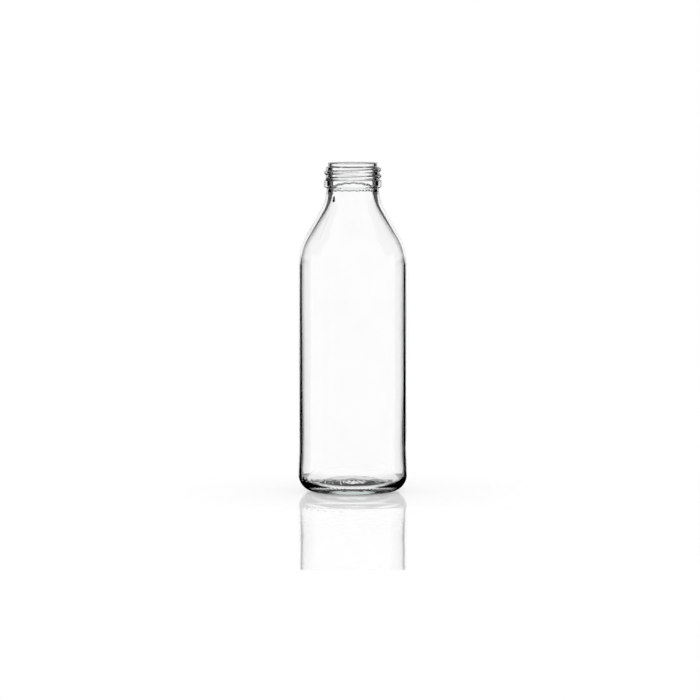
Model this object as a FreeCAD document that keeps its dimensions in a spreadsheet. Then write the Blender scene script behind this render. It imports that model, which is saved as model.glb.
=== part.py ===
"""Glass milk bottle with a screw finish: one moulded piece of glass.

Millimetres, +Z up. The origin is on the bottle's axis, in the plane it stands on.
-Y is the front of the bottle.
"""
import FreeCAD
import Part
import math
import os

import Sketcher

# Sizes of the bottle, written to the spreadsheet under these names.
SIZES = {
    # Whole bottle
    "overall_height": 215.0,
    "body_diameter": 70.5,
    "body_wall": 1.8,
    # Base and heel
    "push_up_height": 5.4,
    "bearing_width": 2.15,
    "heel_radius": 11.0,
    "heel_swell": 0.4,
    "heel_band_height": 16.0,
    "heel_blend_height": 27.0,
    "inner_heel_step": 4.6,
    "floor_height": 2.3,
    "floor_thickness": 3.5,
    # Shoulder and neck
    "shoulder_radius": 35.0,
    "shoulder_angle": 30.0,
    "inner_shoulder_lean": 3.5,
    "neck_blend_radius": 26.0,
    "neck_length": 1.0,
    "neck_inset": 0.4,
    "bore_blend_radius": 24.0,
    # Screw finish
    "thread_diameter": 37.6,
    "thread_depth": 1.1,
    "thread_pitch": 4.23,
    "thread_turns": 1.55,
    "thread_width": 2.4,
    "thread_root_overlap": 0.5,
    "thread_lift": 0.35,
    "finish_height": 11.4,
    "finish_wall": 3.6,
    "bead_height": 5.4,
    "bead_proud": 1.2,
    "bead_under_angle": 32.0,
    "bead_under_radius": 0.6,
    "bead_top_radius": 0.45,
    "lip_height": 2.4,
    "groove_depth": 2.0,
    "groove_fall": 0.8,
    "lip_flare_angle": 20.5,
    "lip_edge_radius": 0.8,
    "lip_bore_radius": 0.5,
}

ROOT_RADIUS = "(Sizes.thread_diameter / 2 - Sizes.thread_depth)"
BODY_RADIUS = "(Sizes.body_diameter / 2)"

# The points of an edge and the axes, as a sketch's constraints number them.
START, END, CENTRE = range(1, 4)
HORIZONTAL_AXIS, VERTICAL_AXIS = range(-1, -3, -1)
ORIGIN = (HORIZONTAL_AXIS, START)


def write_sheet(document, sizes):
    """Put every size in the spreadsheet, one named cell each."""
    sheet = document.addObject("Spreadsheet::Sheet", "Sizes")
    for row, (name, value) in enumerate(sizes.items(), start=1):
        sheet.set(f"A{row}", name)
        sheet.set(f"B{row}", str(value))
        sheet.setAlias(f"B{row}", name)
    document.recompute()
    return sheet


def new_sketch(body, name):
    """Start a sketch on the body's own XZ plane."""
    plane = next(item for item in body.Origin.OriginFeatures if item.Role == "XZ_Plane")
    sketch = body.newObject("Sketcher::SketchObject", name)
    sketch.AttachmentSupport = [(plane, "")]
    sketch.MapMode = "FlatFace"
    return sketch


class Outline:
    """A closed chain of lines and arcs in a sketch, joined end to end."""

    def __init__(self, sketch):
        self.sketch = sketch
        self.edges = {}
        self.last = None

    def line(self, name, start, end, smooth=False):
        """Add a straight edge; smooth makes it tangent to the edge before it."""
        edge = Part.LineSegment(vector(start), vector(end))
        self._append(name, edge, START, END, smooth)

    def arc(self, name, start, end, centre, smooth=False):
        """Add the shorter arc from start to end about centre."""
        first = math.atan2(start[1] - centre[1], start[0] - centre[0])
        second = math.atan2(end[1] - centre[1], end[0] - centre[0])
        forward = (second - first) % (2 * math.pi) < math.pi
        circle = Part.Circle(vector(centre), FreeCAD.Vector(0, 0, 1), math.dist(start, centre))
        if forward:
            edge = Part.ArcOfCircle(circle, first, second)
            self._append(name, edge, START, END, smooth)
        else:
            edge = Part.ArcOfCircle(circle, second, first)
            self._append(name, edge, END, START, smooth)

    def close(self):
        """Join the last edge to the first."""
        first_name = next(iter(self.edges))
        self._join(self.tail(self.last), self.head(first_name), False)

    def head(self, name):
        """The point where the named edge begins, as a constraint names it."""
        index, head, _tail = self.edges[name]
        return index, head

    def tail(self, name):
        """The point where the named edge ends, as a constraint names it."""
        index, _head, tail = self.edges[name]
        return index, tail

    def centre(self, name):
        """The centre of the named arc, as a constraint names it."""
        return self.edges[name][0], CENTRE

    def index(self, name):
        """The number of the named edge in the sketch."""
        return self.edges[name][0]

    def vertical(self, *names):
        """Hold the named lines upright."""
        for name in names:
            self.sketch.addConstraint(Sketcher.Constraint("Vertical", self.index(name)))

    def horizontal(self, *names):
        """Hold the named lines level."""
        for name in names:
            self.sketch.addConstraint(Sketcher.Constraint("Horizontal", self.index(name)))

    def on_axis(self, *points):
        """Hold points on the bottle's axis."""
        for point in points:
            self.sketch.addConstraint(Sketcher.Constraint("PointOnObject", *point, VERTICAL_AXIS))

    def across(self, name, point, value, expression, start=ORIGIN):
        """Bind the distance across from one point to another."""
        self._bind(name, Sketcher.Constraint("DistanceX", *start, *point, value), expression)

    def up(self, name, point, value, expression, start=ORIGIN):
        """Bind the distance up from one point to another."""
        self._bind(name, Sketcher.Constraint("DistanceY", *start, *point, value), expression)

    def radius(self, edge, value, expression):
        """Bind the radius of the named arc."""
        self._bind(f"{edge}_radius", Sketcher.Constraint("Radius", self.index(edge), value), expression)

    def slope(self, edge, value, expression):
        """Bind the angle of the named line above the level."""
        self._bind(f"{edge}_slope", Sketcher.Constraint("Angle", self.index(edge), value), expression)

    def constrain(self, kind, *where):
        """Add a constraint that has no size."""
        self.sketch.addConstraint(Sketcher.Constraint(kind, *where))

    def _bind(self, name, constraint, expression):
        number = self.sketch.addConstraint(constraint)
        self.sketch.renameConstraint(number, name)
        self.sketch.setExpression(f"Constraints.{name}", expression)

    def _append(self, name, edge, head, tail, smooth):
        index = self.sketch.addGeometry(edge, False)
        self.edges[name] = (index, head, tail)
        if self.last is not None:
            self._join(self.tail(self.last), (index, head), smooth)
        self.last = name

    def _join(self, before, after, smooth):
        kind = "Tangent" if smooth else "Coincident"
        self.sketch.addConstraint(Sketcher.Constraint(kind, *before, *after))


def vector(point):
    """A point of a sketch as a vector."""
    return FreeCAD.Vector(point[0], point[1], 0)


def polar(centre, radius, degrees):
    """The point at an angle about a centre."""
    angle = math.radians(degrees)
    return centre[0] + radius * math.cos(angle), centre[1] + radius * math.sin(angle)


def dome_centre(rim, crown_height):
    """The centre, on the axis, of the arc from a crown on the axis to a rim point."""
    rise = crown_height - rim[1]
    radius = (rim[0] ** 2 + rise ** 2) / (2 * rise)
    return 0.0, crown_height - radius


def slope_meets(radius, point, angle):
    """The height at which the shoulder's slope through a point reaches a radius."""
    return point[1] + (point[0] - radius) / math.tan(math.radians(angle))


def draw_wall(sketch, size):
    """Draw the half section of the glass: outside up to the lip, then inside down to the floor."""
    angle = size["shoulder_angle"]
    lip_top = size["overall_height"]
    bead_top = lip_top - size["finish_height"]
    bead_bottom = bead_top - size["bead_height"]
    lip_bottom = lip_top - size["lip_height"]

    body_radius = size["body_diameter"] / 2
    heel_outer = body_radius + size["heel_swell"]
    bearing_outer = heel_outer - size["heel_radius"]
    bearing_inner = bearing_outer - size["bearing_width"]
    inner_body = body_radius - size["body_wall"]
    inner_heel = size["heel_radius"] - size["inner_heel_step"]
    floor_radius = inner_body - inner_heel
    floor_crown = size["push_up_height"] + size["floor_thickness"]

    root = size["thread_diameter"] / 2 - size["thread_depth"]
    neck = root - size["neck_inset"]
    bead = root + size["bead_proud"]
    groove = root - size["groove_depth"]
    bore = root - size["finish_wall"]
    bead_edge = size["bead_top_radius"]
    lip_edge = size["lip_edge_radius"]
    bore_edge = size["lip_bore_radius"]

    # The shoulder's slope runs tangent between two arcs, hung from the neck.
    neck_bottom = bead_bottom - size["neck_length"]
    neck_centre = (neck + size["neck_blend_radius"], neck_bottom)
    slope_top = polar(neck_centre, size["neck_blend_radius"], 180 + angle)
    slope_foot_radius = body_radius - size["shoulder_radius"] * (1 - math.cos(math.radians(angle)))
    slope_foot = (slope_foot_radius, slope_meets(slope_foot_radius, slope_top, angle))
    body_top = slope_foot[1] - size["shoulder_radius"] * math.sin(math.radians(angle))
    shoulder_centre = (body_radius - size["shoulder_radius"], body_top)

    # Inside, the shoulder leans in more, so that the glass thickens towards the neck.
    inner_angle = angle + size["inner_shoulder_lean"]
    inner_half_turn = math.tan(math.radians(inner_angle) / 2)
    inner_foot = polar(shoulder_centre, size["shoulder_radius"] - size["body_wall"], inner_angle)
    bore_bottom = slope_meets(bore, inner_foot, inner_angle) + size["bore_blend_radius"] * inner_half_turn
    bore_centre = (bore + size["bore_blend_radius"], bore_bottom)
    inner_top = polar(bore_centre, size["bore_blend_radius"], 180 + inner_angle)

    wall = Outline(sketch)
    push_up = (0.0, size["push_up_height"])
    bearing = (bearing_inner, 0.0)
    wall.arc("push_up", push_up, bearing, dome_centre(bearing, push_up[1]))
    wall.line("bearing", bearing, (bearing_outer, 0.0))
    heel_centre = (bearing_outer, size["heel_radius"])
    wall.arc("heel", (bearing_outer, 0.0), (heel_outer, size["heel_radius"]), heel_centre, True)
    wall.line("heel_band", (heel_outer, size["heel_radius"]), (heel_outer, size["heel_band_height"]), True)
    heel_blend = (body_radius, size["heel_blend_height"])
    wall.line("heel_taper", (heel_outer, size["heel_band_height"]), heel_blend)
    wall.line("body", heel_blend, (body_radius, body_top))
    wall.arc("shoulder", (body_radius, body_top), slope_foot, shoulder_centre, True)
    wall.line("slope", slope_foot, slope_top, True)
    wall.arc("neck_blend", slope_top, (neck, neck_bottom), neck_centre, True)
    wall.line("neck", (neck, neck_bottom), (neck, bead_bottom), True)

    # The bead's underside slopes up to a rounded edge.
    under = math.radians(size["bead_under_angle"])
    under_edge = size["bead_under_radius"]
    under_end_reach = bead - under_edge + under_edge * math.sin(under)
    under_end = (under_end_reach, bead_bottom + (under_end_reach - neck) * math.tan(under))
    lower_edge = (bead - under_edge, under_end[1] + under_edge * math.cos(under))
    wall.line("bead_under", (neck, bead_bottom), under_end)
    wall.arc("bead_lower", under_end, (bead, lower_edge[1]), lower_edge, True)
    upper_edge = (bead - bead_edge, bead_top - bead_edge)
    wall.line("bead_side", (bead, lower_edge[1]), (bead, upper_edge[1]), True)
    wall.arc("bead_upper", (bead, upper_edge[1]), (bead - bead_edge, bead_top), upper_edge, True)
    wall.line("bead_over", (bead - bead_edge, bead_top), (root, bead_top), True)
    # A groove runs round under the lip, which flares from it to a rounded edge.
    flare = math.radians(size["lip_flare_angle"])
    lip_run = size["lip_height"] - lip_edge * (1 + math.sin(flare))
    lip_end = (groove + lip_run * math.tan(flare), lip_bottom + lip_run)
    lip_corner = (lip_end[0] - lip_edge * math.cos(flare), lip_top - lip_edge)
    groove_foot = (root, lip_bottom - size["groove_fall"])
    wall.line("root", (root, bead_top), groove_foot)
    wall.line("lip_step", groove_foot, (groove, lip_bottom))
    wall.line("lip", (groove, lip_bottom), lip_end)
    wall.arc("lip_edge", lip_end, (lip_corner[0], lip_top), lip_corner, True)
    wall.line("lip_top", (lip_corner[0], lip_top), (bore + bore_edge, lip_top), True)
    bore_corner = (bore + bore_edge, lip_top - bore_edge)
    wall.arc("bore_edge", (bore_corner[0], lip_top), (bore, bore_corner[1]), bore_corner, True)

    wall.line("bore", (bore, bore_corner[1]), (bore, bore_bottom), True)
    wall.arc("bore_blend", (bore, bore_bottom), inner_top, bore_centre, True)
    wall.line("inner_slope", inner_top, inner_foot, True)
    wall.arc("inner_shoulder", inner_foot, (inner_body, body_top), shoulder_centre, True)
    inner_heel_centre = (floor_radius, size["floor_height"] + inner_heel)
    wall.line("inner_body", (inner_body, body_top), (inner_body, inner_heel_centre[1]), True)
    floor_rim = (floor_radius, size["floor_height"])
    wall.arc("inner_heel", (inner_body, inner_heel_centre[1]), floor_rim, inner_heel_centre, True)
    wall.arc("floor", floor_rim, (0.0, floor_crown), dome_centre(floor_rim, floor_crown))
    wall.line("axis", (0.0, floor_crown), push_up)
    wall.close()

    wall.vertical("heel_band", "body", "neck", "bead_side", "root", "bore", "inner_body")
    wall.horizontal("bearing", "bead_over", "lip_top")
    wall.on_axis(wall.head("push_up"), wall.centre("push_up"), wall.tail("floor"), wall.centre("floor"))
    wall.constrain("PointOnObject", *wall.tail("push_up"), HORIZONTAL_AXIS)
    wall.constrain("Coincident", *wall.centre("inner_shoulder"), *wall.centre("shoulder"))
    wall.constrain("Vertical", *wall.tail("inner_heel"), *wall.centre("inner_heel"))

    wall.up("push_up_height", wall.head("push_up"), push_up[1], "Sizes.push_up_height")
    wall.across("bearing_width", wall.tail("bearing"), size["bearing_width"],
                "Sizes.bearing_width", wall.head("bearing"))
    wall.radius("heel", size["heel_radius"], "Sizes.heel_radius")
    wall.across("heel_reach", wall.tail("heel_band"), heel_outer, f"{BODY_RADIUS} + Sizes.heel_swell")
    wall.up("heel_band_top", wall.tail("heel_band"), size["heel_band_height"], "Sizes.heel_band_height")
    wall.up("heel_blend_top", wall.head("body"), heel_blend[1], "Sizes.heel_blend_height")
    wall.across("body_reach", wall.head("body"), body_radius, BODY_RADIUS)
    wall.radius("shoulder", size["shoulder_radius"], "Sizes.shoulder_radius")
    wall.slope("slope", math.radians(90 + angle), "90 deg + Sizes.shoulder_angle * 1 deg")
    wall.radius("neck_blend", size["neck_blend_radius"], "Sizes.neck_blend_radius")
    wall.up("neck_length", wall.tail("neck"), size["neck_length"], "Sizes.neck_length", wall.head("neck"))
    wall.across("neck_reach", wall.tail("neck"), neck, f"{ROOT_RADIUS} - Sizes.neck_inset")

    wall.slope("bead_under", under, "Sizes.bead_under_angle * 1 deg")
    wall.radius("bead_lower", under_edge, "Sizes.bead_under_radius")
    wall.radius("bead_upper", bead_edge, "Sizes.bead_top_radius")
    wall.across("bead_reach", wall.head("bead_side"), bead, f"{ROOT_RADIUS} + Sizes.bead_proud")
    wall.up("bead_height", wall.head("root"), size["bead_height"], "Sizes.bead_height", wall.tail("neck"))
    wall.across("root_reach", wall.head("root"), root, ROOT_RADIUS)
    wall.up("finish_height", wall.head("lip_top"), size["finish_height"],
            "Sizes.finish_height", wall.head("root"))
    wall.up("lip_height", wall.head("lip_top"), size["lip_height"], "Sizes.lip_height", wall.head("lip"))
    wall.across("groove_reach", wall.head("lip"), groove, f"{ROOT_RADIUS} - Sizes.groove_depth")
    wall.up("groove_fall", wall.tail("lip_step"), size["groove_fall"],
            "Sizes.groove_fall", wall.head("lip_step"))
    wall.slope("lip", math.pi / 2 - flare, "90 deg - Sizes.lip_flare_angle * 1 deg")
    wall.radius("lip_edge", lip_edge, "Sizes.lip_edge_radius")
    wall.up("overall_height", wall.head("lip_top"), lip_top, "Sizes.overall_height")
    wall.radius("bore_edge", bore_edge, "Sizes.lip_bore_radius")

    wall.across("bore_reach", wall.head("bore"), bore, f"{ROOT_RADIUS} - Sizes.finish_wall")
    wall.radius("bore_blend", size["bore_blend_radius"], "Sizes.bore_blend_radius")
    wall.slope("inner_slope", math.radians(inner_angle - 90),
               "(Sizes.shoulder_angle + Sizes.inner_shoulder_lean) * 1 deg - 90 deg")
    wall.across("inner_reach", wall.tail("inner_body"), inner_body, f"{BODY_RADIUS} - Sizes.body_wall")
    wall.radius("inner_heel", inner_heel, "Sizes.heel_radius - Sizes.inner_heel_step")
    wall.up("floor_height", wall.head("floor"), size["floor_height"], "Sizes.floor_height")
    wall.up("floor_crown", wall.tail("floor"), floor_crown, "Sizes.push_up_height + Sizes.floor_thickness")


def draw_thread(sketch, size):
    """Draw the thread's rounded section at the left of the neck, where its low end meets the bead."""
    crest = size["thread_diameter"] / 2
    foot = crest - size["thread_depth"] - size["thread_root_overlap"]
    half_width = size["thread_width"] / 2
    middle = size["overall_height"] - size["finish_height"] + size["thread_lift"]
    depth = crest - foot
    radius = (half_width ** 2 + depth ** 2) / (2 * depth)
    centre = (radius - crest, middle)

    ridge = Outline(sketch)
    low = (-foot, middle - half_width)
    high = (-foot, middle + half_width)
    tip = (-crest, middle)
    ridge.line("foot", high, low)
    ridge.arc("under", low, tip, centre)
    ridge.arc("over", tip, high, centre, True)
    ridge.close()

    ridge.vertical("foot")
    ridge.constrain("Equal", ridge.index("under"), ridge.index("over"))
    ridge.constrain("Horizontal", *ridge.tail("under"), *ridge.centre("under"))
    ridge.across("foot_reach", ORIGIN, foot,
                 f"{ROOT_RADIUS} - Sizes.thread_root_overlap", ridge.head("foot"))
    ridge.across("crest_reach", ORIGIN, crest, "Sizes.thread_diameter / 2", ridge.tail("under"))
    ridge.up("width", ridge.head("foot"), size["thread_width"], "Sizes.thread_width", ridge.tail("foot"))
    ridge.up("start_height", ridge.tail("under"), middle,
             "Sizes.overall_height - Sizes.finish_height + Sizes.thread_lift")


def make_bottle(document, size):
    """Turn the wall's section about the axis, then wind the thread round the finish."""
    body = document.addObject("PartDesign::Body", "Bottle")
    body.Label = "glass_bottle"

    wall = new_sketch(body, "WallSection")
    draw_wall(wall, size)
    document.recompute()
    glass = body.newObject("PartDesign::Revolution", "Glass")
    glass.Profile = wall
    glass.ReferenceAxis = (wall, ["V_Axis"])
    glass.Angle = 360.0
    wall.Visibility = False
    document.recompute()

    ridge = new_sketch(body, "ThreadSection")
    draw_thread(ridge, size)
    document.recompute()
    thread = body.newObject("PartDesign::AdditiveHelix", "Thread")
    thread.Profile = ridge
    thread.ReferenceAxis = (ridge, ["V_Axis"])
    thread.Mode = "pitch-turns-angle"
    thread.setExpression("Pitch", "Sizes.thread_pitch")
    thread.setExpression("Turns", "Sizes.thread_turns")
    thread.LeftHanded = False
    ridge.Visibility = False
    document.recompute()
    return body


def check(document):
    """Stop if any object of the document failed or any solid is unsound."""
    for item in document.Objects:
        if "Invalid" in item.State or "Error" in item.State:
            raise RuntimeError(f"{item.Label}: {item.State}")
        shape = getattr(item, "Shape", None)
        if item.isDerivedFrom("PartDesign::Feature") or item.isDerivedFrom("PartDesign::Body"):
            if shape.isNull() or not shape.isValid():
                raise RuntimeError(f"{item.Label}: its shape is not sound")


def export(bodies):
    """Write each piece to its own file, named after its label."""
    os.makedirs("parts", exist_ok=True)
    for body in bodies:
        body.Shape.exportStep(f"parts/{body.Label}.step")


def main():
    """Make the bottle from its sizes and write it out."""
    document = FreeCAD.newDocument("MilkBottle")
    write_sheet(document, SIZES)
    bodies = [make_bottle(document, SIZES)]
    document.recompute()
    check(document)
    export(bodies)


main()
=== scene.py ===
"""The look of a clear glass milk bottle: its moulded shell, its glass and a plain studio.

Lengths of the bottle are in millimetres in the size classes and in metres in the meshes.
+Z is up, the origin is where the bottle's axis meets the floor, and -Y is its front. A turn is
an angle about the axis, from the front towards +X.
"""

import logging
import math
from dataclasses import dataclass, field
from enum import Enum
from functools import partial, reduce

import bpy
import numpy as np
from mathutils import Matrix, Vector


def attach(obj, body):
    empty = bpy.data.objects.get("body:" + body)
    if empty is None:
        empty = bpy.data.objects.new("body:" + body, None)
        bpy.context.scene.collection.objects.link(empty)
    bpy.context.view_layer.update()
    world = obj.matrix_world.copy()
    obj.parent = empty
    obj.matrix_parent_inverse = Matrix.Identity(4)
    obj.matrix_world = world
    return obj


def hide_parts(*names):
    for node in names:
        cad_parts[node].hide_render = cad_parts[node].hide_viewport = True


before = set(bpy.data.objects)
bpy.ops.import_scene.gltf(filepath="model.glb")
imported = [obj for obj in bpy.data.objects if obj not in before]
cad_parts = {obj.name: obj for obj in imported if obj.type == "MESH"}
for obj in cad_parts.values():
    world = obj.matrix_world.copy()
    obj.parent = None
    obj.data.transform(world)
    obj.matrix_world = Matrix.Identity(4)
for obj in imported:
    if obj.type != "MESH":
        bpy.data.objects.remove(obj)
LOG = logging.getLogger("milk_bottle")
METRES_PER_MM = 0.001
PHOTO_WIDTH = 700
FULL_TURN = 360.0
HALF_TURN = 180.0
LONGEST_ARC_STEP = math.radians(11)
FEWEST_ARC_STEPS = 3
SAME_PLACE = 1e-6
WALL_CROSSINGS = 4
Colour = tuple[float, float, float, float]
Array = np.ndarray
Node = bpy.types.Node
Socket = bpy.types.NodeSocket
Value = float | Socket


def smooth_step(value: Array) -> Array:
    """Ease from 0 to 1 as value goes from 0 to 1: 3 v squared minus 2 v cubed."""
    held = np.clip(value, 0, 1)
    return held * held * (3 - 2 * held)


def plateau(value: Array, low: float, high: float, rise: float, fall: float) -> Array:
    """1 between low and high, easing to 0 over rise above low and over fall below high."""
    return smooth_step((value - low) / rise) * smooth_step((high - value) / fall)


def bell(distance: Array, half_width: float) -> Array:
    """A bell curve: e to the minus square of the distance over the half width."""
    return np.exp(-np.square(distance / half_width))


def turn_apart(turn: Array, other: float) -> Array:
    """The signed turn from other, in degrees, between -180 and 180."""
    return np.mod(turn - other + HALF_TURN, FULL_TURN) - HALF_TURN


def dome_radius(reach: float, rise: float) -> float:
    """Radius of the arc that rises by rise over reach and is level at the axis."""
    return (reach ** 2 + rise ** 2) / (2 * rise)


class Side(Enum):
    """Which surface of the glass a stretch of the outline belongs to."""

    OUTSIDE = 0
    INSIDE = 1


@dataclass(frozen=True)
class Corner:
    """A corner of the outline before it is rounded.

    radius rounds it by a tangent arc. lead is the longest spacing of points on the straight
    stretch that leads to it, and step the longest spacing on its arc.
    """

    reach: float
    height: float
    radius: float = 0.0
    lead: float = 2.0
    step: float = 2.0
    side: Side = Side.OUTSIDE


@dataclass(frozen=True)
class Outline:
    """Points along the glass section, from under the base, over the lip, to the floor inside."""

    reach: Array
    height: Array
    inside: Array

    @classmethod
    def rounded(cls, corners: list[Corner]) -> "Outline":
        """Round each corner by an arc tangent to both stretches that meet there.

        Args:
            corners: The section's corners, in order along it.

        Returns:
            The rounded path, with points as close as each corner asks for.
        """
        points: list[Array] = []
        inside: list[Array] = []
        spots = [np.array((corner.reach, corner.height)) for corner in corners]
        pen = spots[0]
        afters = spots[2:] + spots[-1:]
        for corner, before, spot, after in zip(corners[1:], spots, spots[1:], afters):
            arc = cls._arc(corner, before, spot, after)
            run = np.linalg.norm(arc[0] - pen)
            count = max(1, math.ceil(run / corner.lead))
            share = np.arange(count)[:, None] / count
            straight = pen + (arc[0] - pen) * share
            stretch = np.vstack((straight, arc[:-1])) if run > SAME_PLACE else arc[:-1]
            points.append(stretch)
            inside.append(np.full(len(stretch), corner.side is Side.INSIDE))
            pen = arc[-1]
        points.append(pen[None, :])
        inside.append(np.array([corners[-1].side is Side.INSIDE]))
        path = np.vstack(points)
        return cls(path[:, 0], path[:, 1], np.concatenate(inside))

    @staticmethod
    def _arc(corner: Corner, before: Array, spot: Array, after: Array) -> Array:
        """Work out the points on a corner's arc.

        The arc starts before the corner by its radius times the tangent of half the turn. From
        there a point goes by the radius times the swept angle's sine along the way in, and
        times 1 minus its cosine to the side.

        Args:
            corner: The corner, with its radius and step.
            before: Where the corner before it is.
            spot: Where the corner is.
            after: Where the corner after it is.

        Returns:
            The arc's points, or only the corner if it is sharp.
        """
        if corner.radius == 0:
            return spot[None, :]
        way_in = (spot - before) / np.linalg.norm(spot - before)
        way_out = (after - spot) / np.linalg.norm(after - spot)
        across = way_in[0] * way_out[1] - way_in[1] * way_out[0]
        turn = math.atan2(across, float(way_in @ way_out))
        start = spot - way_in * corner.radius * math.tan(abs(turn) / 2)
        by_angle = math.ceil(abs(turn) / LONGEST_ARC_STEP)
        by_length = math.ceil(abs(turn) * corner.radius / corner.step)
        count = max(FEWEST_ARC_STEPS, by_angle, by_length)
        aside = np.array((-way_in[1], way_in[0])) * math.copysign(1, turn)
        sweep = np.abs(turn) * np.linspace(0, 1, count + 1)[:, None]
        return start + corner.radius * (np.sin(sweep) * way_in + (1 - np.cos(sweep)) * aside)

    def facing(self) -> tuple[Array, Array]:
        """Work out the direction out of the glass: the path's direction, turned right.

        Returns:
            Its share along the reach and its share along the height, at each point.
        """
        along_reach = np.gradient(self.reach)
        along_height = np.gradient(self.height)
        length = np.hypot(along_reach, along_height)
        return along_height / length, -along_reach / length


@dataclass(frozen=True)
class Grid:
    """The bottle's surface before its relief: a column of outline points and a row of turns."""

    turn: Array
    reach: Array
    height: Array
    inside: Array

    def flat(self) -> Array:
        """No relief anywhere."""
        return np.zeros((len(self.reach), self.turn.shape[1]))

    def across(self, turn: float) -> Array:
        """The distance round the bottle from a turn, in millimetres."""
        return np.radians(turn_apart(self.turn, turn)) * self.reach


@dataclass(frozen=True)
class Ripple:
    """A wave round the bottle, which may lean by an angle in radians for each millimetre up."""

    crests: int
    phase: float = 0.0
    size: float = 1.0
    lean: float = 0.0

    def at(self, angle: Array, rise: Array | float = 0.0) -> Array:
        """Size times the sine of crests times the angle, plus lean times the rise, plus phase."""
        return self.size * np.sin(self.crests * angle + self.lean * rise + self.phase)


class Relief:
    """Something that stands out of the glass, or is sunk into it."""

    def stands(self, grid: Grid) -> Array:
        """How far the surface stands out at each point of a grid, in millimetres."""
        raise NotImplementedError

    def fine_turns(self) -> Array:
        """Turns, in degrees, at which the mesh needs points for this relief."""
        return np.zeros(0)


@dataclass(frozen=True)
class Thread(Relief):
    """The screw thread: a ridge that climbs from the left round the front, faded at both ends."""

    foot: float
    top: float
    depth: float = 1.1
    pitch: float = 4.23
    turns: float = 1.61
    half_width: float = 1.35
    flank: float = 0.75
    lift: float = 0.35
    start: float = -90.0
    fade: float = 30.0

    def stands(self, grid: Grid) -> Array:
        """Depth, eased to nothing over each flank, times the fade along the thread.

        Args:
            grid: The bare surface.

        Returns:
            The rise at each point.
        """
        total = grid.flat()
        first = np.mod(grid.turn - self.start, FULL_TURN)
        for lap in range(math.ceil(self.turns)):
            along = first + FULL_TURN * lap
            middle = self.foot + self.lift + self.pitch * along / FULL_TURN
            ridge = smooth_step((self.half_width - np.abs(grid.height - middle)) / self.flank)
            ends = plateau(along, 0, FULL_TURN * self.turns, self.fade, self.fade)
            total = np.maximum(total, ridge * ends)
        on_finish = ~grid.inside & (grid.height > self.foot) & (grid.height < self.top)
        return np.where(on_finish, self.depth * total, 0)


@dataclass(frozen=True)
class NeckWave(Relief):
    """A wavy, blotchy furrow in the glass inside the front of the neck.

    It reaches to spread degrees at both sides of the front, where it fades.
    """

    height: float
    droop: float
    depth: float = -1.3
    half_width: float = 0.3
    blotch: float = 0.5
    spread: float = 64.0
    fade: float = 12.0
    quick: Ripple = Ripple(67)
    slow: Ripple = Ripple(23, phase=0.7)
    extra: Ripple = Ripple(41, phase=2.1, size=0.5)
    waver: Ripple = Ripple(19, phase=1.0, size=0.18)

    def stands(self, grid: Grid) -> Array:
        """A bell across the furrow, whose middle drops to both sides with the turn's cosine.

        Its depth is blotched by the product of the quick and the slow ripple plus the extra one.

        Args:
            grid: The bare surface.

        Returns:
            The rise at each point.
        """
        angle = np.radians(grid.turn)
        ripple = self.quick.at(angle) * self.slow.at(angle) + self.extra.at(angle)
        middle = self.height - self.droop * (1 - np.cos(angle)) + self.waver.at(angle)
        ends = smooth_step((self.spread - np.abs(grid.turn)) / self.fade)
        depth = self.depth * (1 + self.blotch * ripple) * ends
        return np.where(grid.inside, depth * bell(grid.height - middle, self.half_width), 0)


@dataclass(frozen=True)
class PartingRing(Relief):
    """The fine ridge where the neck mould met the body mould."""

    height: float
    rise: float = 0.05
    half_width: float = 0.35

    def stands(self, grid: Grid) -> Array:
        """A bell across the ridge."""
        ridge = self.rise * bell(grid.height - self.height, self.half_width)
        return np.where(grid.inside, 0, ridge)


@dataclass(frozen=True)
class MouldSeams(Relief):
    """Two fine upright ridges where the halves of the body mould met."""

    bottom: float
    top: float
    first: float = -44.0
    rise: float = 0.07
    half_width: float = 0.3
    fade: float = 4.0
    near: tuple[float, ...] = (-1.5, -0.8, -0.4, 0.0, 0.4, 0.8, 1.5)

    def stands(self, grid: Grid) -> Array:
        """A bell across each seam, by its distance round the bottle.

        Args:
            grid: The bare surface.

        Returns:
            The rise at each point.
        """
        ridge = sum(bell(grid.across(turn), self.half_width) for turn in self._turns())
        ends = plateau(grid.height, self.bottom, self.top, self.fade, self.fade)
        return np.where(grid.inside, 0, self.rise * ridge * ends)

    def fine_turns(self) -> Array:
        """Points on each seam's crest, sides and foot."""
        return np.concatenate([turn + np.array(self.near) for turn in self._turns()])

    def _turns(self) -> tuple[float, float]:
        """The turn of each seam."""
        return self.first, self.first + HALF_TURN


@dataclass(frozen=True)
class FoldMark(Relief):
    """A small tear-shaped lap in the glass under the neck.

    Its width is a share of half_width, which falls by taper from its middle to its top end.
    """

    turn: float = -43.6
    middle: float = 191.4
    half_height: float = 2.1
    half_width: float = 1.4
    rise: float = 0.9
    share: float = 0.8
    taper: float = 0.5
    share_limits: tuple[float, float] = (0.2, 1.2)
    steepness: float = 1.6
    fine_reach: float = 3.6
    fine_count: int = 12

    def stands(self, grid: Grid) -> Array:
        """A dome over an upright drop, narrow at its top end.

        Args:
            grid: The bare surface.

        Returns:
            The rise at each point.
        """
        up = (grid.height - self.middle) / self.half_height
        wide = self.half_width * np.clip(self.share - self.taper * up, *self.share_limits)
        away = np.hypot(up, grid.across(self.turn) / wide)
        return np.where(grid.inside, 0, self.rise * smooth_step(self.steepness * (1 - away)))

    def fine_turns(self) -> Array:
        """Points across the mark."""
        return self.turn + np.linspace(-self.fine_reach, self.fine_reach, self.fine_count)


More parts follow.
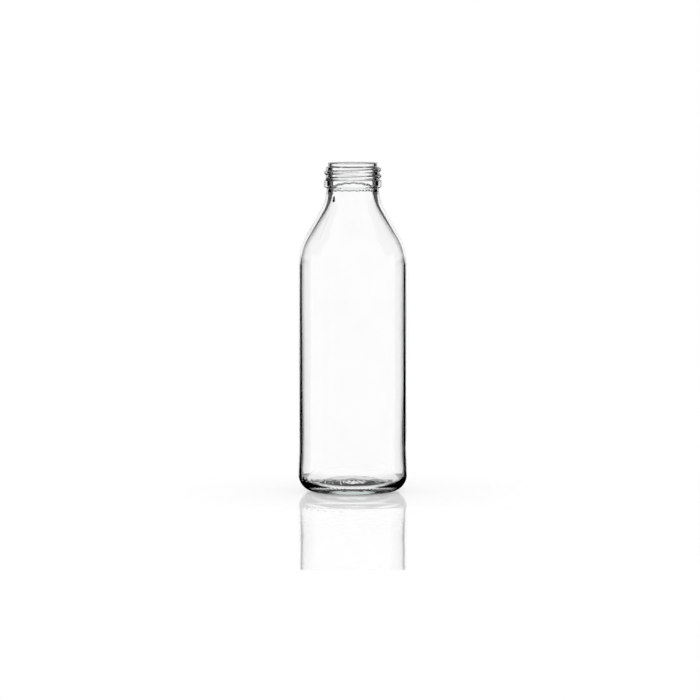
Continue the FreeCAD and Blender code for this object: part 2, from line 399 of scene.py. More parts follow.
@dataclass(frozen=True)
class HeelDots(Relief):
    """A row of small raised dots round the front left of the heel, reach from the axis."""

    height: float = 9.2
    first: float = -67.0
    pitch: float = 9.2
    count: int = 7
    radius: float = 0.9
    rise: float = 0.5
    reach: float = 35.0
    steepness: float = 1.3
    fine_count: int = 5

    def stands(self, grid: Grid) -> Array:
        """A dome over each dot's circle.

        Args:
            grid: The bare surface.

        Returns:
            The rise at each point.
        """
        total = grid.flat()
        for turn in self._turns():
            away = np.hypot(grid.across(turn), grid.height - self.height) / self.radius
            total = np.maximum(total, smooth_step(self.steepness * (1 - away)))
        return np.where(grid.inside, 0, self.rise * total)

    def fine_turns(self) -> Array:
        """Points across each dot."""
        near = np.degrees(self.radius / self.reach) * np.linspace(-1, 1, self.fine_count)
        return (self._turns()[:, None] + near).ravel()

    def _turns(self) -> Array:
        """The turn of each dot."""
        return self.first + self.pitch * np.arange(self.count)


@dataclass(frozen=True)
class BaseKnurl(Relief):
    """Short bars round the edge that the bottle stands on, with grooves between them."""

    inner: float
    outer: float
    count: int = 64
    depth: float = 0.6
    fade: float = 2.0
    top: float = 8.0
    top_fade: float = 3.0

    def stands(self, grid: Grid) -> Array:
        """Grooves sunk between the bars, by the cosine of the turn times the count.

        Args:
            grid: The bare surface.

        Returns:
            The rise at each point.
        """
        groove = 0.5 - 0.5 * np.cos(self.count * np.radians(grid.turn))
        band = plateau(grid.reach, self.inner, self.outer, self.fade, self.fade)
        low = smooth_step((self.top - grid.height) / self.top_fade)
        return np.where(grid.inside, 0, -self.depth * groove * band * low)


@dataclass(frozen=True)
class BaseStipple(Relief):
    """Uneven pits under the base, in a ring inside the edge that the bottle stands on."""

    inner: float
    outer: float
    depth: float = 0.14
    count: int = 26
    length: float = 7.0
    bend: float = 1.2
    wander: Ripple = Ripple(5, size=3.0)
    inner_fade: float = 3.0
    outer_fade: float = 1.5
    top: float = 12.0

    def stands(self, grid: Grid) -> Array:
        """Waves round the base, whose phase swings with the distance from the axis.

        Args:
            grid: The bare surface.

        Returns:
            The rise at each point.
        """
        angle = np.radians(grid.turn)
        outward = 2 * math.pi * grid.reach / self.length
        swing = self.bend * np.sin(outward + self.wander.at(angle))
        pits = np.sin(self.count * angle + swing)
        band = plateau(grid.reach, self.inner, self.outer, self.inner_fade, self.outer_fade)
        under = ~grid.inside & (grid.height < self.top)
        return np.where(under, self.depth * pits * band, 0)


@dataclass(frozen=True)
class DrawnWall(Relief):
    """The blown wall's changes of thickness, seen as bends in its inner face."""

    bottom: float
    top: float
    thick: float = 0.5
    thick_below: float = 104.0
    blend: float = 84.0
    waver: float = 0.06
    broad: Ripple = Ripple(1, lean=0.04)
    narrow: Ripple = Ripple(2, phase=1.0, size=0.7, lean=-0.09)
    bottom_fade: float = 12.0
    top_fade: float = 20.0

    def stands(self, grid: Grid) -> Array:
        """A thicker lower wall, with a slow waver round the bottle and up it.

        Args:
            grid: The bare surface.

        Returns:
            The rise at each point.
        """
        angle = np.radians(grid.turn)
        thick = self.thick * smooth_step((self.thick_below - grid.height) / self.blend)
        slow = self.broad.at(angle, grid.height) + self.narrow.at(angle, grid.height)
        ends = plateau(grid.height, self.bottom, self.top, self.bottom_fade, self.top_fade)
        return np.where(grid.inside, (thick + self.waver * slow) * ends, 0)


@dataclass(frozen=True)
class BottleSizes:
    """Driving sizes of the bottle, in millimetres and degrees."""

    overall_height: float = 215.0
    body_radius: float = 35.25
    body_wall: float = 1.8
    push_up_height: float = 5.4
    push_up_rise: float = 5.0
    push_up_lean: float = 0.4
    push_up_edge: float = 1.0
    bearing_inner: float = 22.5
    pits_inner: float = 11.0
    knurl_inset: float = 1.0
    knurl_outer: float = 29.0
    heel_radius: float = 11.0
    heel_swell: float = 0.4
    heel_band_height: float = 16.0
    heel_blend_height: float = 27.0
    heel_blend_radius: float = 90.0
    inner_heel_radius: float = 6.4
    floor_height: float = 2.3
    floor_rise: float = 6.6
    drawn_top: float = 150.0
    shoulder_radius: float = 35.0
    shoulder_angle: float = 30.0
    neck_blend_radius: float = 26.0
    neck_length: float = 1.0
    neck_radius: float = 17.3
    bore_radius: float = 14.1
    bore_blend_radius: float = 24.0
    bore_drop: float = 3.3
    fine_bore_drop: float = 2.0
    root_radius: float = 17.7
    finish_height: float = 11.4
    bead_height: float = 5.4
    bead_radius: float = 18.9
    bead_edge: float = 0.6
    bead_chamfer: float = 1.0
    bead_top_edge: float = 0.45
    lip_height: float = 2.4
    lip_radius: float = 16.6
    lip_groove: float = 0.9
    groove_fall: float = 0.8
    lip_edge: float = 0.9
    soft_edge: float = 0.35
    parting_drop: float = 4.2
    seam_drop: float = 9.0


@dataclass
class GlassBottle:
    """The moulded glass shell, as one closed mesh.

    Its columns of points stand front_step degrees apart up to front degrees at both sides of
    the front, and back_step apart behind.
    """

    sizes: BottleSizes = field(default_factory=BottleSizes)
    front: float = 75.0
    front_step: float = 1.2
    back_step: float = 2.8
    turn_decimals: int = 1

    @property
    def bead_top(self) -> float:
        """Height of the top of the bead under the thread."""
        return self.sizes.overall_height - self.sizes.finish_height

    @property
    def bead_bottom(self) -> float:
        """Height of the underside of the bead."""
        return self.bead_top - self.sizes.bead_height

    @property
    def lip_bottom(self) -> float:
        """Height of the groove under the lip."""
        return self.sizes.overall_height - self.sizes.lip_height

    @property
    def thread_top(self) -> float:
        """Height at which the finish starts to lean in to the groove."""
        return self.lip_bottom - self.sizes.groove_fall

    @property
    def slope(self) -> float:
        """How far the shoulder goes in for each millimetre up."""
        return math.tan(math.radians(self.sizes.shoulder_angle))

    @property
    def neck_corner(self) -> float:
        """Height where the shoulder's line meets the neck's, below the tangent arc's end."""
        bend = self.sizes.neck_blend_radius * math.tan(math.radians(self.sizes.shoulder_angle) / 2)
        return self.bead_bottom - self.sizes.neck_length - bend

    @property
    def shoulder_corner(self) -> float:
        """Height where the body's line meets the shoulder's."""
        return self.neck_corner - (self.sizes.body_radius - self.sizes.neck_radius) / self.slope

    def corners(self) -> list[Corner]:
        """The section's corners, from the middle of the base, out, up and down inside."""
        return [*self._outer_corners(), *self._inner_corners()]

    def _outer_corners(self) -> list[Corner]:
        """Place the corners from the middle of the base to the outside of the lip.

        Returns:
            The outer corners, in order.
        """
        s = self.sizes
        wall_foot = s.bearing_inner - s.push_up_lean
        dome = dome_radius(wall_foot, s.push_up_rise)
        dome_foot = s.push_up_height - s.push_up_rise
        heel_reach = s.body_radius + s.heel_swell
        return [
            Corner(0.0, s.push_up_height),
            Corner(wall_foot / 2, s.push_up_height, dome, lead=4.0, step=0.8),
            Corner(wall_foot, dome_foot, s.push_up_edge, lead=0.8, step=0.5),
            Corner(s.bearing_inner, 0.0, s.soft_edge, lead=0.5),
            Corner(heel_reach, 0.0, s.heel_radius, lead=0.7, step=0.7),
            Corner(heel_reach, s.heel_band_height, s.heel_blend_radius),
            Corner(s.body_radius, s.heel_blend_height, s.heel_blend_radius),
            Corner(s.body_radius, self.shoulder_corner, s.shoulder_radius, lead=12.0),
            Corner(s.neck_radius, self.neck_corner, s.neck_blend_radius, lead=4.0, step=0.45),
            Corner(s.neck_radius, self.bead_bottom, s.soft_edge, lead=0.4),
            Corner(s.bead_radius, self.bead_bottom + s.bead_chamfer, s.bead_edge, lead=0.3),
            Corner(s.bead_radius, self.bead_top, s.bead_top_edge, lead=0.8),
            Corner(s.root_radius, self.bead_top, s.bead_top_edge / 2, lead=0.3),
            Corner(s.root_radius, self.thread_top, s.soft_edge, lead=0.22),
            Corner(s.lip_radius - s.lip_groove, self.lip_bottom, s.soft_edge, lead=0.5),
            Corner(s.lip_radius, s.overall_height, s.lip_edge, lead=0.5),
        ]

    def _inner_corners(self) -> list[Corner]:
        """Place the corners from the inside of the lip to the middle of the floor.

        Returns:
            The inner corners, in order.
        """
        s = self.sizes
        inside = Side.INSIDE
        reach = s.body_radius - s.body_wall
        sine = math.sin(math.radians(s.shoulder_angle))
        wall_drop = s.body_wall / sine - s.body_wall / self.slope
        shoulder = self.shoulder_corner - wall_drop
        shoulder_radius = s.shoulder_radius - s.body_wall
        bore_foot = shoulder + (reach - s.bore_radius) / self.slope - s.bore_drop
        fine_foot = self.bead_bottom - s.fine_bore_drop
        floor_reach = reach - s.inner_heel_radius
        floor_top = s.floor_height + s.floor_rise
        dome = dome_radius(floor_reach, s.floor_rise)
        return [
            Corner(s.bore_radius, s.overall_height, s.lip_edge, lead=0.5, side=inside),
            Corner(s.bore_radius, self.bead_top, side=inside),
            Corner(s.bore_radius, fine_foot, lead=0.2, side=inside),
            Corner(s.bore_radius, bore_foot, s.bore_blend_radius, lead=1.5, step=1.5, side=inside),
            Corner(reach, shoulder, shoulder_radius, lead=4.0, side=inside),
            Corner(reach, s.floor_height, s.inner_heel_radius, lead=7.0, step=1.0, side=inside),
            Corner(floor_reach / 2, floor_top, dome, lead=3.0, step=3.0, side=inside),
            Corner(0.0, floor_top, side=inside),
        ]

    def reliefs(self) -> list[Relief]:
        """List what stands out of the turned shape or is sunk into it.

        Returns:
            The reliefs, whose heights add up.
        """
        s = self.sizes
        parting = self.bead_bottom - s.parting_drop
        return [
            Thread(foot=self.bead_top, top=self.thread_top),
            NeckWave(height=202.2, droop=7.0),
            NeckWave(height=197.2, droop=0.4, depth=-0.5, blotch=0.9, spread=60.0),
            PartingRing(height=parting),
            MouldSeams(bottom=s.heel_band_height, top=parting - s.seam_drop),
            FoldMark(),
            HeelDots(),
            BaseKnurl(inner=s.bearing_inner - s.knurl_inset, outer=s.knurl_outer),
            BaseStipple(inner=s.pits_inner, outer=s.bearing_inner - s.push_up_lean),
            DrawnWall(bottom=s.heel_band_height, top=s.drawn_top),
        ]

    def build(self) -> bpy.types.Object:
        """Turn the outline about the axis and move each point by its relief.

        Returns:
            The bottle's object, with its faces outward.
        """
        outline = Outline.rounded(self.corners())
        reliefs = self.reliefs()
        between = slice(1, -1)
        parts = (outline.reach, outline.height, outline.inside, *outline.facing())
        reach, height, inside, out_reach, out_height = (part[between, None] for part in parts)
        grid = Grid(self._turns(reliefs), reach, height, inside)
        stands = sum(relief.stands(grid) for relief in reliefs)
        reach = reach + out_reach * stands
        height = height + out_height * stands
        angle = np.radians(grid.turn)
        rings = np.stack((reach * np.sin(angle), -reach * np.cos(angle), height), axis=-1)
        poles = np.array(((0, 0, outline.height[0]), (0, 0, outline.height[-1])))
        points = np.vstack((rings.reshape(-1, 3), poles)) * METRES_PER_MM
        return new_mesh("bottle_glass", points, closed_faces(*rings.shape[:2]))

    def _turns(self, reliefs: list[Relief]) -> Array:
        """Choose the turns of the mesh's columns, even ones and those that a relief needs.

        Args:
            reliefs: What stands out of the turned shape.

        Returns:
            The turns, in order, as one row.
        """
        even = (np.arange(-self.front, self.front, self.front_step),
                np.arange(self.front, FULL_TURN - self.front, self.back_step))
        turn = np.concatenate([*even, *(relief.fine_turns() for relief in reliefs)])
        return np.unique(np.round(turn_apart(turn, 0.0), self.turn_decimals))[None, :]


def closed_faces(rings: int, columns: int) -> list[tuple[int, ...]]:
    """Quads between rings and triangles to a pole at each end.

    Args:
        rings: Number of rings, numbered along the path from the first pole.
        columns: Number of points in a ring, counted anticlockwise from above.

    Returns:
        The faces, outward for a path that has the glass on its left.
    """
    column = np.arange(columns)
    after = np.roll(column, -1)
    low = np.arange(rings - 1)[:, None] * columns
    high = low + columns
    quads = np.stack((low + column, low + after, high + after, high + column), axis=-1)
    first_pole = np.full_like(column, rings * columns)
    last = (rings - 1) * columns
    start = np.stack((column, first_pole, after), axis=-1)
    end = np.stack((last + column, last + after, first_pole + 1), axis=-1)
    groups = (quads.reshape(-1, 4), start, end)
    return [tuple(face) for group in groups for face in group.tolist()]


def new_mesh(name: str, points: Array, faces: list[tuple[int, ...]]) -> bpy.types.Object:
    """Make a smooth-shaded object.

    Args:
        name: The name of the object and of its mesh.
        points: The points, in metres.
        faces: The numbers of each face's points, anticlockwise from outside.

    Returns:
        The object, in the scene and at its origin.
    """
    mesh = bpy.data.meshes.new(name)
    mesh.from_pydata(points.tolist(), [], faces)
    mesh.shade_smooth()
    mesh.validate()
    piece = bpy.data.objects.new(name, mesh)
    bpy.context.collection.objects.link(piece)
    return piece


class Sum(Enum):
    """What a Math node works out."""

    ADD = "ADD"
    SUBTRACT = "SUBTRACT"
    MULTIPLY = "MULTIPLY"
    DIVIDE = "DIVIDE"
    MULTIPLY_ADD = "MULTIPLY_ADD"
    ABSOLUTE = "ABSOLUTE"
    MAXIMUM = "MAXIMUM"
    GREATER_THAN = "GREATER_THAN"
    WRAP = "WRAP"
    ARCTAN2 = "ARCTAN2"
    ARCSINE = "ARCSINE"


class Ray(Enum):
    """What a ray has been through, as the outputs of a Light Path node name it."""

    PASSED_GLASS = "Transmission Depth"
    MIRRORED = "Glossy Depth"
    LEFT_A_MIRROR = "Is Glossy Ray"
    SCATTERED = "Diffuse Depth"


class NodeMaths:
    """Short ways to write sums with the nodes of one tree."""

    def __init__(self, tree: bpy.types.NodeTree) -> None:
        """Keep the tree's nodes and links at hand."""
        self.nodes = tree.nodes
        self.links = tree.links

    def fill(self, node: Node, inputs: dict[str | int, Value | Colour]) -> None:
        """Give a node's inputs a number or colour, or link other nodes' outputs to them.

        Args:
            node: The node.
            inputs: What goes into each input, by its name or number.
        """
        for key, value in inputs.items():
            if isinstance(value, Socket):
                self.links.new(value, node.inputs[key])
            else:
                node.inputs[key].default_value = value

    def node(
        self, kind: str, inputs: dict[str | int, Value | Colour] | None = None, **settings: str
    ) -> Node:
        """Add a node.

        Args:
            kind: The type of node.
            inputs: What goes into each input, by its name or number.
            **settings: The node's choices.

        Returns:
            The node.
        """
        node = self.nodes.new(kind)
        for name, choice in settings.items():
            setattr(node, name, choice)
        self.fill(node, inputs or {})
        return node

    def sum(self, kind: Sum, *values: Value) -> Socket:
        """What a Math node works out from values."""
        return self.node("ShaderNodeMath", dict(enumerate(values)), operation=kind.value).outputs[0]

    def product(self, *values: Value) -> Socket:
        """The product of several values."""
        return reduce(partial(self.sum, Sum.MULTIPLY), values)

    def most(self, *values: Value) -> Socket:
        """The greatest of several values."""
        return reduce(partial(self.sum, Sum.MAXIMUM), values)

    def rest(self, share: Value) -> Socket:
        """1 minus a share."""
        return self.sum(Sum.SUBTRACT, 1.0, share)

    def mix(self, share: Value, low: float, high: float) -> Socket:
        """From low where share is 0 to high where it is 1, for numbers."""
        return self.sum(Sum.MULTIPLY_ADD, share, high - low, low)

    def choose(self, share: Value, low: Value, high: Value) -> Socket:
        """From low where share is 0 to high where it is 1, for outputs."""
        return self.node("ShaderNodeMix", {"Factor": share, 2: low, 3: high}).outputs[0]

    def ease(self, value: Value, start: Value, end: Value) -> Socket:
        """Ease from 0 where value is at start to 1 where it is at end."""
        inputs = {"Value": value, "From Min": start, "From Max": end}
        return self.node("ShaderNodeMapRange", inputs, interpolation_type="SMOOTHSTEP").outputs[0]

    def band(self, value: Value, low: float, high: float, soft: float) -> Socket:
        """1 where value lies between low and high, easing to 0 over soft on both sides."""
        inward = (self.sum(Sum.SUBTRACT, value, low), self.sum(Sum.SUBTRACT, high, value))
        return self.product(*(self.ease(edge, -soft, soft) for edge in inward))

    def parts(self, vector: Socket) -> list[Socket]:
        """A vector's x, y and z."""
        return list(self.node("ShaderNodeSeparateXYZ", {0: vector}).outputs)

    def length(self, vector: Socket) -> Socket:
        """A vector's length."""
        return self.node("ShaderNodeVectorMath", {0: vector}, operation="LENGTH").outputs["Value"]

    def place(self, kind: str) -> Socket:
        """Where a ray meets a piece, or where it goes in the world."""
        return self.node("ShaderNodeTexCoord").outputs[kind]

    def noise(self, where: Socket, scale: float, detail: float = 1.0) -> Socket:
        """Smooth noise over a piece, about a half."""
        inputs = {"Vector": where, "Scale": scale, "Detail": detail}
        return self.node("ShaderNodeTexNoise", inputs).outputs["Fac"]

    def ray(self, output: Ray, times: int = 1) -> Socket:
        """1 where a ray has been through something at least a number of times, otherwise 0."""
        path = self.node("ShaderNodeLightPath")
        return self.sum(Sum.GREATER_THAN, path.outputs[output.value], times - 0.5)

    def mix_shaders(self, share: Value, first: Node, second: Node) -> Node:
        """One shader where share is 0 and another where it is 1."""
        inputs = {"Fac": share, 1: first.outputs[0], 2: second.outputs[0]}
        return self.node("ShaderNodeMixShader", inputs)


@dataclass(frozen=True)
class ClearGlass:
    """Clear soda-lime glass with a faint grey-green body colour.

    Its skin has the slow swell that blowing leaves, patches that handling has dulled a little
    and specks of dust and wear. Scales are in waves per metre.
    """

    ior: float = 1.52
    clean: Colour = (1.0, 1.0, 1.0, 1.0)
    dulled: Colour = (0.985, 0.99, 0.985, 1.0)
    patch_scale: float = 45.0
    patch_edges: tuple[float, float] = (0.45, 0.75)
    roughness: tuple[float, float] = (0.0, 0.012)
    swell_scale: float = 70.0
    swell_height: float = 0.00001
    speck_scale: float = 420.0
    speck_share: tuple[float, float] = (0.05, 0.02)
    speck_roughness: float = 0.25
    tint: Colour = (0.80, 0.86, 0.83, 1.0)
    density: float = 25.0

    def build(self) -> bpy.types.Material:
        """Make the material.

        Returns:
            Glass whose colour and roughness follow noise and whose swell is a fine bump.
        """
        material = bpy.data.materials.new("clear_glass")
        material.use_nodes = True
        maths = NodeMaths(material.node_tree)
        where = maths.place("Object")
        patches = maths.ease(maths.noise(where, self.patch_scale), *self.patch_edges)
        shades = {"Factor": patches, "A": self.clean, "B": self.dulled}
        swell = {"Distance": self.swell_height, "Height": maths.noise(where, self.swell_scale)}
        body = {"Color": self.tint, "Density": self.density}
        maths.fill(maths.nodes["Principled BSDF"], {
            "IOR": self.ior,
            "Transmission Weight": 1.0,
            "Base Color": maths.node("ShaderNodeMix", shades, data_type="RGBA").outputs["Result"],
            "Roughness": maths.most(maths.mix(patches, *self.roughness), self._dust(maths, where)),
            "Normal": maths.node("ShaderNodeBump", swell).outputs["Normal"],
        })
        absorb = maths.node("ShaderNodeVolumeAbsorption", body)
        maths.fill(maths.nodes["Material Output"], {"Volume": absorb.outputs["Volume"]})
        return material

    def _dust(self, maths: NodeMaths, where: Socket) -> Socket:
        """Roughen the middles of scattered cells.

        Args:
            maths: The material's nodes.
            where: The place on the piece.

        Returns:
            The roughness of the specks, and 0 between them.
        """
        cells = maths.node("ShaderNodeTexVoronoi", {"Vector": where, "Scale": self.speck_scale})
        specks = maths.ease(cells.outputs["Distance"], *self.speck_share)
        return maths.product(specks, self.speck_roughness)


@dataclass(frozen=True)
class StudioFloor:
    """A white, glossy table top. The bottle's mirror image fades out towards its rim.

    From the glass the table shows as a white strip under and behind the bottle. On it, rays that
    passed through the glass see a painted shadow, a dark ring under the base, and rays mirrored
    off the outside of the glass see painted shade near the bottle. Past the strip the studio's
    cards show. Pairs are the distances, in metres, over which something eases, apart from the
    mirror's levels near and far.
    """

    radius: float = 0.6
    sides: int = 96
    mirror: tuple[float, float] = (0.36, 0.66)
    mirror_near: tuple[float, float] = (0.1, 0.2)
    mirror_fade: tuple[float, float] = (0.385, 0.389)
    strip: tuple[float, float] = (0.032, 0.036)
    front_strip: tuple[float, float] = (0.021, 0.027)
    front_edge: tuple[float, float] = (-0.006, 0.006)
    strip_end: tuple[float, float] = (0.12, 0.14)
    # Painted shade near the bottle, for rays mirrored off the outside of the glass: where it ends
    # and its level.
    shade: tuple[float, float] = (0.06, 0.08)
    painted_shade_level: float = 0.08
    # Painted shadow under the base, for rays through the glass: a dark ring, its soft edge and its
    # level.
    ring: tuple[float, float] = (0.009, 0.0225)
    painted_shadow_soft: float = 0.0015
    painted_shadow_level: float = 0.0
    white: Colour = (0.6, 0.6, 0.6, 1.0)
    glow: float = 0.42
    gloss: Colour = (1.0, 1.0, 1.0, 1.0)

    def build(self) -> bpy.types.Object:
        """Make the floor as a round sheet just under the bottle.

        Returns:
            The floor's object.
        """
        turn = np.linspace(0, 2 * math.pi, self.sides, endpoint=False)
        across = (self.radius * np.cos(turn), self.radius * np.sin(turn), np.zeros_like(turn))
        floor = new_mesh("studio_floor", np.stack(across, axis=-1), [tuple(range(self.sides))])
        floor.data.materials.append(self._finish())
        return floor

    def _finish(self) -> bpy.types.Material:
        """Make the table's material.

        Returns:
            The table, or its strip where a ray comes from the glass.
        """
        material = bpy.data.materials.new("white_table")
        material.use_nodes = True
        maths = NodeMaths(material.node_tree)
        maths.nodes.remove(maths.nodes["Principled BSDF"])
        where = maths.place("Object")
        by_glass = maths.most(maths.ray(Ray.PASSED_GLASS), maths.ray(Ray.LEFT_A_MIRROR))
        seen = maths.mix_shaders(by_glass, self._table(maths, where), self._strip(maths, where))
        maths.fill(maths.nodes["Material Output"], {"Surface": seen.outputs[0]})
        return material

    def _table(self, maths: NodeMaths, where: Socket) -> Node:
        """Make the table as the camera sees it.

        Args:
            maths: The material's nodes.
            where: The place on the table.

        Returns:
            White that glows a little, under a mirror.
        """
        white = maths.node("ShaderNodeBsdfDiffuse", {"Color": self.white})
        glow = maths.node("ShaderNodeEmission", {"Strength": self.glow})
        lit = maths.node("ShaderNodeAddShader", {0: white.outputs[0], 1: glow.outputs[0]})
        gloss = maths.node("ShaderNodeBsdfGlossy", {"Color": self.gloss, "Roughness": 0.0})
        away = maths.length(where)
        mirror = maths.mix(maths.ease(away, *self.mirror_near), *self.mirror)
        fade = maths.mix(maths.ease(away, *self.mirror_fade), 1.0, 0.0)
        return maths.mix_shaders(maths.product(mirror, fade), lit, gloss)

    def _strip(self, maths: NodeMaths, where: Socket) -> Node:
        """Make the table as rays from the glass see it.

        Args:
            maths: The material's nodes.
            where: The place on the table.

        Returns:
            A white strip with a painted shadow ring for rays through the glass and painted shade
            near the bottle for rays mirrored off it, and nothing past it.
        """
        away = maths.length(where)
        # Painted shadow: a dark ring under the base, as seen through the glass.
        ring = maths.mix(maths.band(away, *self.ring, self.painted_shadow_soft), 1.0, self.painted_shadow_level)
        # Painted shade on the table near the bottle, as seen in the outer reflections of the glass.
        shade = maths.mix(maths.ease(away, *self.shade), self.painted_shade_level, 1.0)
        level = maths.choose(maths.ray(Ray.PASSED_GLASS), shade, ring)
        top = maths.node("ShaderNodeEmission", {"Color": level})
        x, y, _ = maths.parts(where)
        back = maths.ease(y, *self.front_edge)
        wide = (maths.mix(back, *pair) for pair in zip(self.front_strip, self.strip))
        aside = maths.ease(maths.sum(Sum.ABSOLUTE, x), *wide)
        past = maths.most(aside, maths.ease(away, *self.strip_end))
        return maths.mix_shaders(past, top, maths.node("ShaderNodeBsdfTransparent"))


@dataclass(frozen=True)
class Heading:
    """Where a ray goes as it leaves the studio, in degrees: round from +X and up from level."""

    maths: NodeMaths
    about: Socket
    up: Socket

    @classmethod
    def of_world(cls, maths: NodeMaths) -> "Heading":
        """Work out a ray's heading: the arc tangent of y over x, and the arc sine of z.

        Args:
            maths: The world's nodes.

        Returns:
            The heading.
        """
        x, y, z = maths.parts(maths.place("Generated"))
        about = maths.product(maths.sum(Sum.ARCTAN2, y, x), math.degrees(1))
        up = maths.product(maths.sum(Sum.ARCSINE, z), math.degrees(1))
        return cls(maths, about, up)

    def aside(self, way: float) -> Socket:
        """The signed turn from a way, between -180 and 180."""
        turn = self.maths.sum(Sum.SUBTRACT, self.about, way)
        return self.maths.sum(Sum.WRAP, turn, HALF_TURN, -HALF_TURN)


@dataclass(frozen=True)
class Cards:
    """A pair of dark cards, one to each side of a way that the bottle is looked through towards.

    Angles are in degrees, round from +X and up from level: the cards stand between near and far
    to each side of the way, from bottom up to top. Their edges ease over soft and up_soft.
    """

    way: float
    near: float
    far: float
    bottom: float
    top: float
    dark: float = 1.0
    soft: float = 1.5
    up_soft: float = 0.6

    def shade(self, heading: Heading) -> Socket:
        """Work out how dark the cards are where a ray goes.

        Args:
            heading: Where the ray goes.

        Returns:
            The band aside times the band up times the cards' darkness.
        """
        maths = heading.maths
        aside = maths.sum(Sum.ABSOLUTE, heading.aside(self.way))
        wide = maths.band(aside, self.near, self.far, self.soft)
        high = maths.band(heading.up, self.bottom, self.top, self.up_soft)
        return maths.product(wide, high, self.dark)


@dataclass(frozen=True)
class Window:
    """A round opening in the dark cards, through which the white behind them shows.

    wide and high are its half sizes, in degrees, and rim is where its edge eases, as the square
    of its size.
    """

    way: float
    up: float
    wide: float
    high: float
    level: float = 1.0
    rim: tuple[float, float] = (1.06, 0.94)

    def clear(self, heading: Heading) -> Socket:
        """Work out how open the cards are where a ray goes.

        Args:
            heading: Where the ray goes.

        Returns:
            The level where squares of the offsets over the half sizes add up to under 1.
        """
        maths = heading.maths
        aside = maths.sum(Sum.DIVIDE, heading.aside(self.way), self.wide)
        above = maths.sum(Sum.DIVIDE, maths.sum(Sum.SUBTRACT, heading.up, self.up), self.high)
        away = maths.sum(Sum.ADD, maths.product(aside, aside), maths.product(above, above))
        return maths.product(maths.ease(away, *self.rim), self.level)


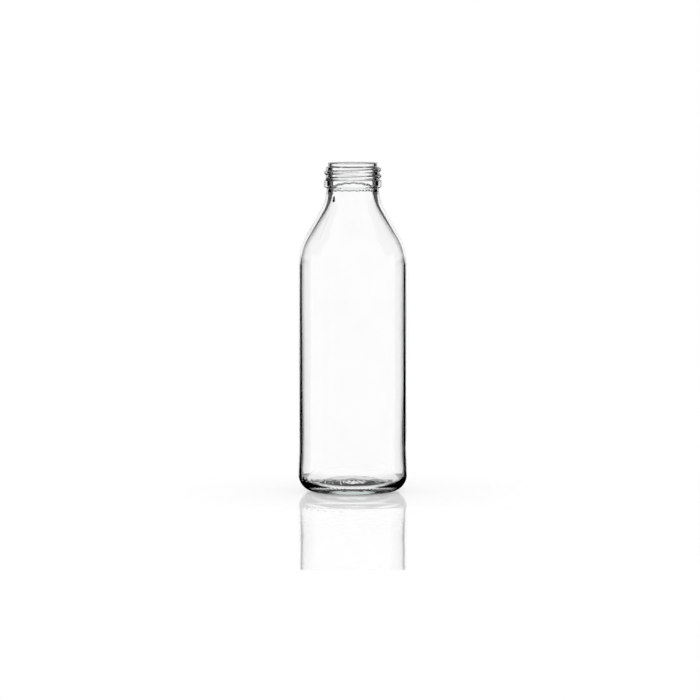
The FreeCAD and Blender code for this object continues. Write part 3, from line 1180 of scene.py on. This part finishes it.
@dataclass(frozen=True)
class StudioWorld:
    """White all round, with dark cards that only rays from the glass see, so that its edges show.

    Rays that pass through the glass see main and others, and ceiling above. Those that are also
    mirrored in it see beside and under as well. window opens the cards for all of them, and
    side_windows for those that aren't mirrored. A ray that goes down after one mirroring and both
    walls sees only back. One that is mirrored more often sees behind, or far_side if it goes
    nearly level through both walls, open at slot. Rays that leave the outside of the glass see
    gloss, and under if they go down.
    """

    main: tuple[Cards, ...] = (
        Cards(way=90.0, near=-9.0, far=42.0, bottom=-95.0, top=91.0),
        Cards(way=90.0, near=-9.0, far=74.0, bottom=3.0, top=91.0),
    )
    window: Window = Window(way=90.0, up=9.0, wide=29.0, high=20.0)
    side_windows: tuple[Window, ...] = (
        Window(way=135.0, up=-22.0, wide=16.0, high=12.0),
        Window(way=45.0, up=-22.0, wide=16.0, high=12.0),
        Window(way=90.0, up=52.0, wide=14.0, high=26.0, level=0.8),
        Window(way=90.0, up=-27.0, wide=14.0, high=20.0, level=0.4),
    )
    beside: Cards = Cards(way=90.0, near=40.0, far=74.0, bottom=-95.0, top=91.0)
    under: Cards = Cards(way=90.0, near=-9.0, far=190.0, bottom=-95.0, top=-8.0)
    others: tuple[Cards, ...] = (
        Cards(way=180.0, near=20.0, far=36.0, bottom=-36.0, top=-2.8, dark=0.25, soft=4.0),
        Cards(way=180.0, near=26.0, far=62.0, bottom=-2.8, top=20.0, dark=0.25, soft=6.0),
    )
    ceiling: Cards = Cards(way=90.0, near=-9.0, far=100.0, bottom=14.0, top=50.0)
    back: Cards = Cards(way=90.0, near=-5.0, far=24.0, bottom=-40.0, top=0.0)
    behind: Cards = Cards(way=90.0, near=-5.0, far=84.0, bottom=-95.0, top=50.0)
    far_side: Cards = Cards(way=90.0, near=-5.0, far=24.0, bottom=-95.0, top=50.0)
    slot: Window = Window(way=90.0, up=7.0, wide=24.0, high=6.5)
    gloss: tuple[Cards, ...] = (
        Cards(way=90.0, near=-9.0, far=40.0, bottom=-95.0, top=1.0),
        Cards(way=90.0, near=-9.0, far=74.0, bottom=-2.2, top=1.0),
    )
    level_sky: tuple[float, float] = (0.5, 8.0)
    level_soft: float = 0.5
    horizon: tuple[float, float] = (-0.2, -0.8)

    def build(self) -> None:
        """Make the world: 1 minus the dark that a ray sees, and 1 for rays from the table."""
        world = bpy.data.worlds.new("studio")
        bpy.context.scene.world = world
        world.use_nodes = True
        maths = NodeMaths(world.node_tree)
        heading = Heading.of_world(maths)
        shut = maths.rest(self._openings(heading))
        under = maths.product(self.under.shade(heading), shut)
        below = maths.ease(heading.up, *self.horizon)
        gloss = maths.product(self._darkest(self.gloss, heading), shut)
        outside = maths.product(
            maths.most(gloss, maths.product(under, below)),
            maths.ray(Ray.LEFT_A_MIRROR),
            maths.rest(maths.ray(Ray.MIRRORED, 2)),
        )
        through = maths.most(self._through(heading, shut, under, below), self._deep(heading))
        seen = maths.choose(maths.ray(Ray.PASSED_GLASS), outside, through)
        dark = maths.product(seen, maths.rest(maths.ray(Ray.SCATTERED)))
        white = maths.mix(dark, 1.0, 0.0)
        maths.fill(maths.nodes["Background"], {"Color": white, "Strength": 1.0})

    @staticmethod
    def _darkest(cards: tuple[Cards, ...], heading: Heading) -> Socket:
        """How dark the darkest of several pairs of cards is where a ray goes."""
        return heading.maths.most(*(pair.shade(heading) for pair in cards))

    def _openings(self, heading: Heading) -> Socket:
        """Open the cards behind the bottle.

        Args:
            heading: Where a ray goes.

        Returns:
            How open the cards are.
        """
        maths = heading.maths
        sides = maths.most(*(window.clear(heading) for window in self.side_windows))
        unmirrored = maths.rest(maths.ray(Ray.MIRRORED))
        return maths.most(self.window.clear(heading), maths.product(sides, unmirrored))

    def _through(self, heading: Heading, shut: Value, under: Value, below: Value) -> Socket:
        """Darken rays that pass through the glass and are mirrored in it once or not at all.

        Args:
            heading: Where a ray goes.
            shut: How far the cards are shut there.
            under: How dark the card underneath is there.
            below: 1 for a ray that goes down.

        Returns:
            How dark it is.
        """
        maths = heading.maths
        mirrored = maths.ray(Ray.MIRRORED)
        main = maths.product(self._darkest(self.main, heading), shut)
        beside = maths.product(maths.most(self.beside.shade(heading), under), mirrored)
        others = self._darkest(self.others, heading)
        over = maths.product(self.ceiling.shade(heading), shut)
        down = maths.product(mirrored, maths.ray(Ray.PASSED_GLASS, WALL_CROSSINGS), below)
        direct = maths.rest(maths.most(down, maths.ray(Ray.MIRRORED, 2)))
        dark = maths.product(maths.most(main, beside, others, over), direct)
        return maths.most(dark, maths.product(self.back.shade(heading), down))

    def _deep(self, heading: Heading) -> Socket:
        """Darken rays that are mirrored twice or more in the glass.

        Args:
            heading: Where a ray goes.

        Returns:
            How dark it is.
        """
        maths = heading.maths
        level = maths.product(
            maths.ray(Ray.PASSED_GLASS, WALL_CROSSINGS),
            maths.band(heading.up, *self.level_sky, self.level_soft),
        )
        wide = maths.product(self.behind.shade(heading), maths.rest(level))
        dark = maths.most(wide, maths.product(self.far_side.shade(heading), level))
        return maths.product(dark, maths.rest(self.slot.clear(heading)), maths.ray(Ray.MIRRORED, 2))


@dataclass(frozen=True)
class StudioCamera:
    """The photograph's camera: a long lens, a little above the bottle's mouth.

    Lengths are in metres, apart from the sensor's width in millimetres.
    """

    distance: float = 2.4
    height: float = 0.273
    aim_height: float = 0.0925
    aside: float = -0.0018
    pixels_per_radian: float = 3683.0
    sensor_width: float = 36.0
    farthest: float = 50.0

    def build(self) -> bpy.types.Object:
        """Make the camera and give it to the scene.

        Returns:
            The camera's object.
        """
        data = bpy.data.cameras.new("camera")
        data.sensor_width = self.sensor_width
        data.lens = self.pixels_per_radian * self.sensor_width / PHOTO_WIDTH
        data.clip_end = self.farthest
        camera = bpy.data.objects.new("camera", data)
        bpy.context.collection.objects.link(camera)
        camera.location = (self.aside, -self.distance, self.height)
        look = Vector((0.0, self.distance, self.aim_height - self.height))
        camera.rotation_euler = look.to_track_quat("-Z", "Y").to_euler()
        bpy.context.scene.camera = camera
        return camera


def report(piece: bpy.types.Object) -> None:
    """Report a piece and its number of points and faces."""
    mesh = piece.data
    LOG.info("%s: %d points, %d faces", piece.name, len(mesh.vertices), len(mesh.polygons))


def write_sizes() -> None:
    """Update the view layer.
    """
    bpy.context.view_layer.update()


def main() -> None:
    """Build the bottle, dress it and set the studio."""
    logging.basicConfig(level=logging.INFO, format="%(name)s: %(message)s")
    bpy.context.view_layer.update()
    bottle = GlassBottle().build()
    bottle.data.materials.append(ClearGlass().build())
    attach(bottle, "root")
    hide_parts("glass_bottle")
    report(bottle)
    report(StudioFloor().build())
    StudioWorld().build()
    StudioCamera().build()
    bpy.context.scene.view_settings.view_transform = "Standard"
    write_sizes()


if __name__ == "__main__":
    main()
